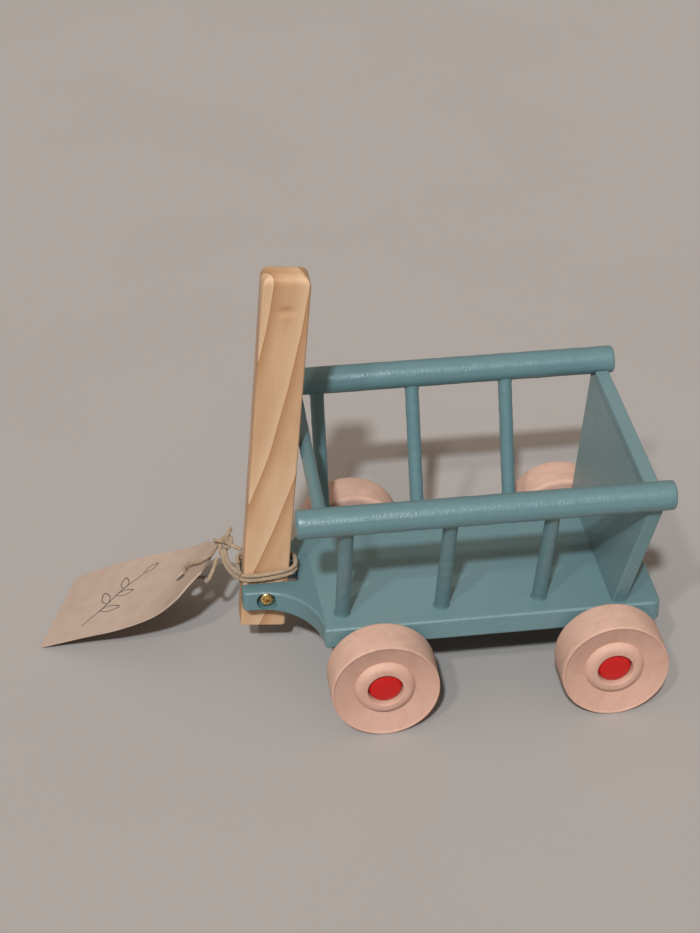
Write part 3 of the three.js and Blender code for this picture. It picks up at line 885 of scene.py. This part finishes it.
FOOT_FILLET = 0.4
HEAD_FILLET = 0.2
SPINDLE_SUNK = 2  # into the deck, and short of the rail's middle
ROD_SIDES = 28


def flare(bm, axis_start, axis_end, gap_of, amount, width):
    """Swells a rod where gap_of(point), its distance to a neighbour, is small, as paint gathers there."""
    direction = (axis_end - axis_start).normalized()
    for vert in bm.verts:
        away = vert.co - axis_start
        away -= direction * away.dot(direction)
        if away.length < 1e-6:
            continue
        gap = max(gap_of(vert.co), 0.0)
        vert.co += away.normalized() * amount * math.exp(-gap / width)


def rail_gap(sign):
    return lambda point: math.hypot(point.y - sign * RAIL_Y, point.z - RAIL_Z) - RAIL_RADIUS


for side, sign in SIDES.items():
    for number, x in enumerate(SPINDLE_XS, 1):
        foot = Vector((x, sign * SPINDLE_FOOT_Y, DECK_TOP))
        head = Vector((x, sign * RAIL_Y, RAIL_Z))
        up = (head - foot).normalized()
        start, end = foot - up * SPINDLE_SUNK, head - up * SPINDLE_SUNK
        bm = bmesh.new()
        profile = rod_profile((end - start).length, SPINDLE_RADIUS, step=0.32)
        lathe(bm, profile, ROD_SIDES, along(start, up))
        flare(bm, start, end, lambda point: point.z - DECK_TOP, FOOT_FILLET, width=0.5)
        flare(bm, start, end, rail_gap(sign), HEAD_FILLET, width=0.4)
        roughen(bm, amount=0.1, size=3, seed=11 * number + sign)
        spindle = finish_mesh(f"spindle_rod_{side}_{number}", bm, paint_upright)
        dress(spindle, "wagon", "blue_paint", f"spindle_{side}_{number}")

bm = bmesh.new()
bar_start = Vector((BAR_X, -RAIL_Y + 1, RAIL_Z))
bar_end = Vector((BAR_X, RAIL_Y - 1, RAIL_Z))
bar_profile = rod_profile((bar_end - bar_start).length, BAR_RADIUS)
lathe(bm, bar_profile, ROD_SIDES, along(bar_start, TO_RIGHT))
for sign in SIDES.values():
    flare(bm, bar_start, bar_end, rail_gap(sign), HEAD_FILLET, width=0.4)
roughen(bm, amount=0.08, size=3, seed=3)
paint_across = paint_material("teal_paint_across", (1, 24, 1))
dress(finish_mesh("cross_bar_rod", bm, paint_across), "wagon", "blue_paint", "front_cross_bar")

# ---------- Tailboard ----------

BOARD_SLOPE = (BOARD_TOP_X - BOARD_FOOT_X) / (BOARD_TOP - DECK_TOP)
BOARD_RUN = BOARD_THICKNESS * math.hypot(1, BOARD_SLOPE)


def board_outline():
    """The tailboard seen from behind, its top corners hollowed to take the rails."""
    hollow = RAIL_RADIUS + 0.3
    bottom = DECK_TOP - 1.4
    width_per_height = (BOARD_TOP_HALF_WIDTH - BOARD_FOOT_HALF_WIDTH) / (BOARD_TOP - DECK_TOP)
    top_angle = math.degrees(math.asin((BOARD_TOP - RAIL_Z) / hollow))
    half = [(BOARD_FOOT_HALF_WIDTH, bottom), (BOARD_FOOT_HALF_WIDTH, DECK_TOP)]
    hollow_foot = RAIL_Z - hollow
    side_there = BOARD_FOOT_HALF_WIDTH + (hollow_foot - DECK_TOP) * width_per_height
    half += [(side_there - 0.25, hollow_foot - 0.05)]
    half += arc((RAIL_Y, RAIL_Z), (hollow, hollow), 268, 180 - top_angle, 12)
    return half + [(-y, z) for y, z in reversed(half)]


bm = bmesh.new()
prism(bm, board_outline(), 0, BOARD_RUN, ease=0.55, segments=3)
# The outline's x becomes Y and its y becomes Z, and the board then leans back.
bm.transform(Matrix(((0, 0, 1, BOARD_FOOT_X), (1, 0, 0, 0), (0, 1, 0, 0), (0, 0, 0, 1))))
for vert in bm.verts:
    vert.co.x += (vert.co.z - DECK_TOP) * BOARD_SLOPE
board = finish_mesh("tailboard_panel", bm, paint_across, weighted=True)
dress(board, "wagon", "blue_paint", "tailboard")

# ---------- Running gear ----------

for end, x in AXLE_XS.items():
    bm = bmesh.new()
    half = (block_high.x - block_low.x) / 2
    width = block_high.y
    outline = [(x - half, -width), (x + half, -width), (x + half, width), (x - half, width)]
    prism(bm, outline, block_low.z, DECK_BOTTOM + 0.4, ease=0.5, segments=3)
    block = finish_mesh("axle_bolster_" + end, bm, paint_across, weighted=True)
    dress(block, "wagon", "blue_paint", "axle_block_" + end)

    bm = bmesh.new()
    reach = axle_high.y
    start = Vector((x, -reach, WHEEL_RADIUS))
    lathe(bm, rod_profile(2 * reach, AXLE_RADIUS, step=3), 32, along(start, TO_RIGHT))
    dress(finish_mesh("axle_dowel_" + end, bm, beech), "wagon", "turned_wood", "axle_" + end)


def bezier(a, b, c, d, steps):
    """A cubic curve's points after its first one."""
    found = []
    for i in range(1, steps + 1):
        t = i / steps
        found.append(
            tuple(
                (1 - t) ** 3 * p + 3 * t * (1 - t) ** 2 * q + 3 * t**2 * (1 - t) * r + t**3 * s
                for p, q, r, s in zip(a, b, c, d)
            )
        )
    return found


def wheel_profile():
    """Radius and distance from the wagon's middle, from the back of the bore round the tread to the hub."""
    ease, lip, hole_ease, dish_steps = 1.4, 0.45, 0.6, 12
    rim, inner, crest, top = WHEEL_RADIUS, WHEEL_INNER, WHEEL_CREST_RADIUS, WHEEL_CREST
    boss, face, hub, floor = BOSS_RADIUS, BOSS_FACE, HUB_HOLE_RADIUS, DISH_FLOOR
    found = [(WHEEL_BORE, inner), (rim - ease, inner)]

    def curve(b, c, d, steps):
        found.extend(bezier(found[-1], b, c, d, steps))

    curve((rim - ease / 3, inner), (rim, inner + ease / 3), (rim, inner + ease), 8)
    found.append((rim, WHEEL_TREAD))
    curve((rim, top - 1.6), (crest + 0.4, top), (crest, top), 22)
    curve((crest - lip / 3, top), (crest - 2 * lip / 3, top - lip / 8), (crest - lip, top - lip / 2), 6)
    # The dish is a straight cone down to the foot of the boss.
    start = found[-1]
    for k in range(1, dish_steps):
        share = k / dish_steps
        found.append((start[0] + (boss - start[0]) * share, start[1] + (floor - start[1]) * share))
    found.append((boss + 0.1, floor + 0.02))
    curve((boss - 0.15, floor + 1.0), (BOSS_FACE_RADIUS + 0.9, face), (BOSS_FACE_RADIUS, face), 12)
    found.append((hub + hole_ease, face))
    curve((hub + 0.15, face), (hub, face - 0.15), (hub, face - 0.5), 6)
    found += [(hub, face - HUB_HOLE_DEPTH), (WHEEL_BORE, face - HUB_HOLE_DEPTH)]
    return found


def lathe_ring(bm, profile, sides, place):
    """A closed ring: the profile's last point joins its first."""
    rings = lathe(bm, profile, sides, place)
    join_rings(bm, [rings[-1], rings[0]])


for end, x in AXLE_XS.items():
    for side, sign in SIDES.items():
        node = f"wheel_{end}_{side}"
        bm = bmesh.new()
        lathe_ring(bm, wheel_profile(), 112, along(Vector(), TO_RIGHT * sign))
        place = Matrix.Translation((x, 0, WHEEL_RADIUS))
        wheel = finish_mesh(f"turned_wheel_{end}_{side}", bm, wheel_beech[node], place, sharp=50)
        dress(wheel, node, "turned_wood", node)

        bm = bmesh.new()
        foot, face, radius = cap_low.y, cap_high.y, (cap_high.x - cap_low.x) / 2
        dome = [(0, foot), (radius, foot), (radius, CAP_RIM)]
        dome += bezier(dome[-1], (radius, face), (radius * 0.6, face), (0.02, face), 16)
        lathe(bm, dome[:-1] + [(0, face)], 64, along(Vector((x, 0, WHEEL_RADIUS)), TO_RIGHT * sign))
        button = finish_mesh(f"hub_button_{end}_{side}", bm, red)
        dress(button, "wagon", "red_gloss", f"hub_cap_{end}_{side}")


# ---------- Pull stick ----------


def stick_half_width(z):
    """The stick's top corners are rounded, and its foot is square with a small ease."""
    half = STICK_WIDTH / 2
    over = z - (STICK_TOP - STICK_TOP_ROUND)
    if over > 0:
        return half - STICK_TOP_ROUND + math.sqrt(max(STICK_TOP_ROUND**2 - over**2, 0))
    under = (STICK_BOTTOM + STICK_FOOT_EASE) - z
    return half - max(under, 0)


def stick_shrink(z):
    """How much of the stick's thickness is left at a height, near its ends."""
    to_top = STICK_TOP - z
    to_foot = z - STICK_BOTTOM
    foot_rim = 0.35
    if to_top < STICK_TOP_EASE:
        fall = STICK_TOP_EASE - math.sqrt(STICK_TOP_EASE**2 - (STICK_TOP_EASE - to_top) ** 2)
        return 1 - fall / (STICK_THICKNESS / 2)
    if to_foot < foot_rim:
        return 1 - 0.05 * (1 - to_foot / foot_rim) ** 2
    return 1.0


def stick_section(half):
    """Points round the stick at one height, from half its width there, with eased corners."""
    edge = 0.55
    deep = STICK_THICKNESS / 2
    corners = (
        ((half - edge, -deep + edge), 270),
        ((half - edge, deep - edge), 0),
        ((-half + edge, deep - edge), 90),
        ((-half + edge, -deep + edge), 180),
    )
    found = []
    across = 18
    for (centre, start), ((next_x, next_y), _) in zip(corners, corners[1:] + corners[:1]):
        found += arc(centre, (edge, edge), start, start + 90, 4)
        turned = math.radians(start + 90)
        last = Vector(found[-1])
        following = Vector((next_x + edge * math.cos(turned), next_y + edge * math.sin(turned)))
        found += [tuple(last.lerp(following, k / across)) for k in range(1, across)]
    return found


def stick_dents(point):
    """How far the stick's face is off true: soft waves, and a dent at the pin knot on the front."""
    wave = 0.06 * noise.noise(Vector((point.x / 5, point.y / 5, point.z / 26)))
    if point.y > -STICK_THICKNESS / 2 + 0.3:
        return wave
    dx, dz = (point.x - PIN_KNOT_X) / 1.9, (point.z - PIN_KNOT_HEIGHT) / 1.1
    hollow = math.exp(-(dx**2 + dz**2))
    ridge = 0.4 * math.exp(-(dx**2 + (dz + 1.6) ** 2))
    return wave - 0.45 * (hollow - ridge)


def make_stick():
    bm = bmesh.new()
    foot_steps, shaft_steps, top_steps = 5, 190, 12
    top_start = STICK_TOP - STICK_TOP_ROUND
    shaft_start = STICK_BOTTOM + STICK_FOOT_EASE
    heights = [STICK_BOTTOM + STICK_FOOT_EASE * k / foot_steps for k in range(foot_steps + 1)]
    heights += [
        shaft_start + (top_start - shaft_start) * k / shaft_steps for k in range(1, shaft_steps + 1)
    ]
    heights += [
        top_start + STICK_TOP_ROUND * math.sin(math.pi / 2 * k / top_steps) for k in range(1, top_steps)
    ]
    heights += [STICK_TOP - 0.02]
    rings = []
    for z in heights:
        thickness_share = stick_shrink(z)
        section = stick_section(stick_half_width(z))
        rings.append([bm.verts.new((x, y * thickness_share, z)) for x, y in section])
    join_rings(bm, rings)
    bm.faces.new(rings[0])
    bm.faces.new(rings[-1])
    bmesh.ops.recalc_face_normals(bm, faces=bm.faces)
    bm.normal_update()
    for ring in rings[4:-4]:
        for vert in ring:
            vert.co += vert.normal * stick_dents(vert.co)
    lean = Matrix.Translation(PIVOT) @ Matrix.Rotation(STICK_LEAN, 4, "Y")
    return finish_mesh("pine_stick", bm, pine, lean)


stick = make_stick()
dress(stick, "pull_stick", "pine", "pull_stick")


# ---------- Pivot screw ----------


def make_screw():
    """A pan-head cross screw, sunk in the left prong."""
    face = screw_low.y
    head = (screw_high.z - screw_low.z) / 2
    seat = -NOSE_HALF_WIDTH + COUNTERBORE_DEPTH - 0.2
    shank = 1.5
    depth = seat - face
    bm = bmesh.new()
    profile = [(0, 0), (head * 0.45, 0.03)]
    profile += bezier((head * 0.45, 0.03), (head * 0.8, 0.1), (head, 0.3), (head, 0.95), 8)
    profile += [(head, depth), (shank, depth), (shank, screw_high.y - face), (0, screw_high.y - face)]
    centre = Vector((PIVOT.x, face, PIVOT.z))
    lathe(bm, profile, 48, along(centre, TO_RIGHT))
    screw = finish_mesh("cross_head_screw", bm, brass)
    slot_half_length, slot_half_width, slot_depth = 1.35, 0.3, 0.9
    slot_turn = Matrix.Rotation(math.radians(24), 3, "Y")
    for half_x, half_z in ((slot_half_length, slot_half_width), (slot_half_width, slot_half_length)):
        bm = bmesh.new()
        bmesh.ops.create_cube(bm, size=2)
        for vert in bm.verts:
            x, y, z = vert.co
            taper = 0.7 if y > 0 else 1.0
            vert.co = (x * half_x * taper, y * slot_depth, z * half_z * taper)
        bmesh.ops.rotate(bm, verts=bm.verts, matrix=slot_turn)
        bmesh.ops.translate(bm, verts=bm.verts, vec=centre)
        cut(screw, bm)
    screw.data.set_sharp_from_angle(angle=math.radians(CREASE))
    return screw


dress(make_screw(), "wagon", "brass", "pivot_screw")

# ---------- Swing tag ----------


def make_tag():
    """A card with two clipped corners and a hole, cut flat and then bent along its line."""
    bm = bmesh.new()
    end = TAG_LENGTH
    corner = 0.8
    outline = arc((corner, corner), (corner, corner), 180, 270, 4)
    outline += [(end - TAG_CLIP, 0), (end, TAG_CLIP)]
    outline += [(end, TAG_WIDTH - TAG_CLIP), (end - TAG_CLIP, TAG_WIDTH)]
    outline += arc((corner, TAG_WIDTH - corner), (corner, corner), 90, 180, 4)
    hole_ring = arc((end - TAG_HOLE_INSET, TAG_WIDTH / 2), (TAG_HOLE_RADIUS,) * 2, 0, 360, 36)[:-1]
    edges = []
    for loop_points in (outline, hole_ring):
        verts = [bm.verts.new((x, y, 0)) for x, y in loop_points]
        edges += [bm.edges.new((a, b)) for a, b in zip(verts, verts[1:] + verts[:1])]
    bmesh.ops.triangle_fill(bm, edges=edges, use_beauty=True)
    for axis, extent, step in ((0, end, 1.0), (1, TAG_WIDTH, 3.0)):
        for k in range(1, int(extent / step)):
            normal, point = Vector(), Vector()
            normal[axis] = 1
            point[axis] = k * step
            bmesh.ops.bisect_plane(
                bm, geom=bm.verts[:] + bm.edges[:] + bm.faces[:], plane_co=point, plane_no=normal
            )
    grown = bmesh.ops.extrude_face_region(bm, geom=bm.faces[:])
    for vert in (v for v in grown["geom"] if isinstance(v, bmesh.types.BMVert)):
        vert.co.z = TAG_THICKNESS
    for vert in bm.verts:
        x, y, above = vert.co
        vert.co = tag_point(x, y, above)
    tag = finish_mesh("card_tag", bm, card)
    return dress(tag, "wagon", "card", "swing_tag")


make_tag()


def leaf(root, angle, length, width):
    """The closed outline of a leaf on the flat card."""
    points = []
    steps = 14
    for side in (1, -1):
        for k in range(steps + 1):
            share = k / steps if side == 1 else 1 - k / steps
            out = side * width * math.sin(math.pi * share) ** 0.8 * (1 - 0.3 * share)
            points.append(
                (
                    root[0] + length * share * math.cos(angle) - out * math.sin(angle),
                    root[1] + length * share * math.sin(angle) + out * math.cos(angle),
                )
            )
    return points


def ink_stroke(bm, points, width=0.42):
    """A thin raised line printed on the card's upper face."""
    height = TAG_THICKNESS + 0.03
    rows = []
    for i, (x, y) in enumerate(points):
        a = points[max(i - 1, 0)]
        b = points[min(i + 1, len(points) - 1)]
        ahead = Vector((b[0] - a[0], b[1] - a[1])).normalized() if b != a else Vector((1, 0))
        swell = 0.65 + 0.35 * math.sin(math.pi * i / (len(points) - 1))
        side = Vector((-ahead.y, ahead.x)) * width / 2 * swell
        row = []
        for dx, dy, up in ((side.x, side.y, height), (-side.x, -side.y, height)):
            row.append(bm.verts.new(tag_point(x + dx, y + dy, up)))
            row.append(bm.verts.new(tag_point(x + dx, y + dy, TAG_THICKNESS - 0.1)))
        rows.append((row[0], row[2], row[3], row[1]))
    join_rings(bm, rows)
    bm.faces.new(rows[0])
    bm.faces.new(rows[-1])


def make_sprig():
    """A plain leafy sprig, the tag's only print."""
    bm = bmesh.new()
    stem = [(p.x, p.y) for p in smooth_path([(12, 5.5, 0), (17, 12, 0), (21, 19, 0), (27, 25.5, 0)], 8)]
    ink_stroke(bm, stem)
    leaves = ((0.3, -0.95, 6.5), (0.42, 0.95, 6.5), (0.62, -0.9, 5.6), (0.74, 0.9, 5.4))
    for share, turn, length in leaves:
        k = int(share * (len(stem) - 1))
        heading = math.atan2(stem[k + 1][1] - stem[k][1], stem[k + 1][0] - stem[k][0])
        ink_stroke(bm, leaf(stem[k], heading + turn, length, 1.5), 0.34)
    ink_stroke(bm, leaf(stem[-1], math.atan2(6.5, 6), 5.2, 1.3), 0.34)
    return dress(finish_mesh("printed_sprig", bm, ink), "wagon", "card")


make_sprig()

# ---------- Floor and light ----------

floor_bm = bmesh.new()
FLOOR_HALF_WIDTH = 3000
bmesh.ops.create_grid(floor_bm, x_segments=8, y_segments=8, size=FLOOR_HALF_WIDTH)
floor = finish_mesh("floor", floor_bm, floor_material())


def sun(name, direction, strength, color, angle):
    """A distant lamp. The direction points towards it."""
    data = bpy.data.lights.new(name, "SUN")
    data.energy = strength
    data.color = color
    data.angle = math.radians(angle)
    lamp = bpy.data.objects.new(name, data)
    lamp.rotation_mode = "QUATERNION"
    lamp.rotation_quaternion = UP.rotation_difference(Vector(direction))
    bpy.context.scene.collection.objects.link(lamp)


LAMP_ANGLE = 2.6  # degrees across, for shadows with a slightly soft edge
sun("main_lamp", (-0.256, -0.955, 1), 2.58, (0.93, 1.0, 1.04), LAMP_ANGLE)
sun("second_lamp", (-0.45, -0.815, 1), 0.68, (1.0, 0.9, 0.78), LAMP_ANGLE)

ROOM_COLOR = (0.383, 0.319, 0.266)
ROOM_AT_HORIZON = 0.45
ROOM_OVERHEAD = 1.32


def make_room():
    """Soft light from all round, weaker towards the horizon."""
    world = bpy.data.worlds.new("room")
    world.use_nodes = True
    tree = world.node_tree
    direction = tree.nodes.new("ShaderNodeTexCoord").outputs["Generated"]
    split = tree.nodes.new("ShaderNodeSeparateXYZ")
    tree.links.new(direction, split.inputs[0])
    level = tree.nodes.new("ShaderNodeMapRange")
    tree.links.new(split.outputs["Z"], level.inputs["Value"])
    level.inputs["To Min"].default_value = ROOM_AT_HORIZON
    level.inputs["To Max"].default_value = ROOM_OVERHEAD
    background = tree.nodes["Background"]
    background.inputs["Color"].default_value = (*ROOM_COLOR, 1)
    tree.links.new(level.outputs[0], background.inputs["Strength"])
    bpy.context.scene.world = world


make_room()
bpy.context.scene.view_settings.view_transform = "Standard"
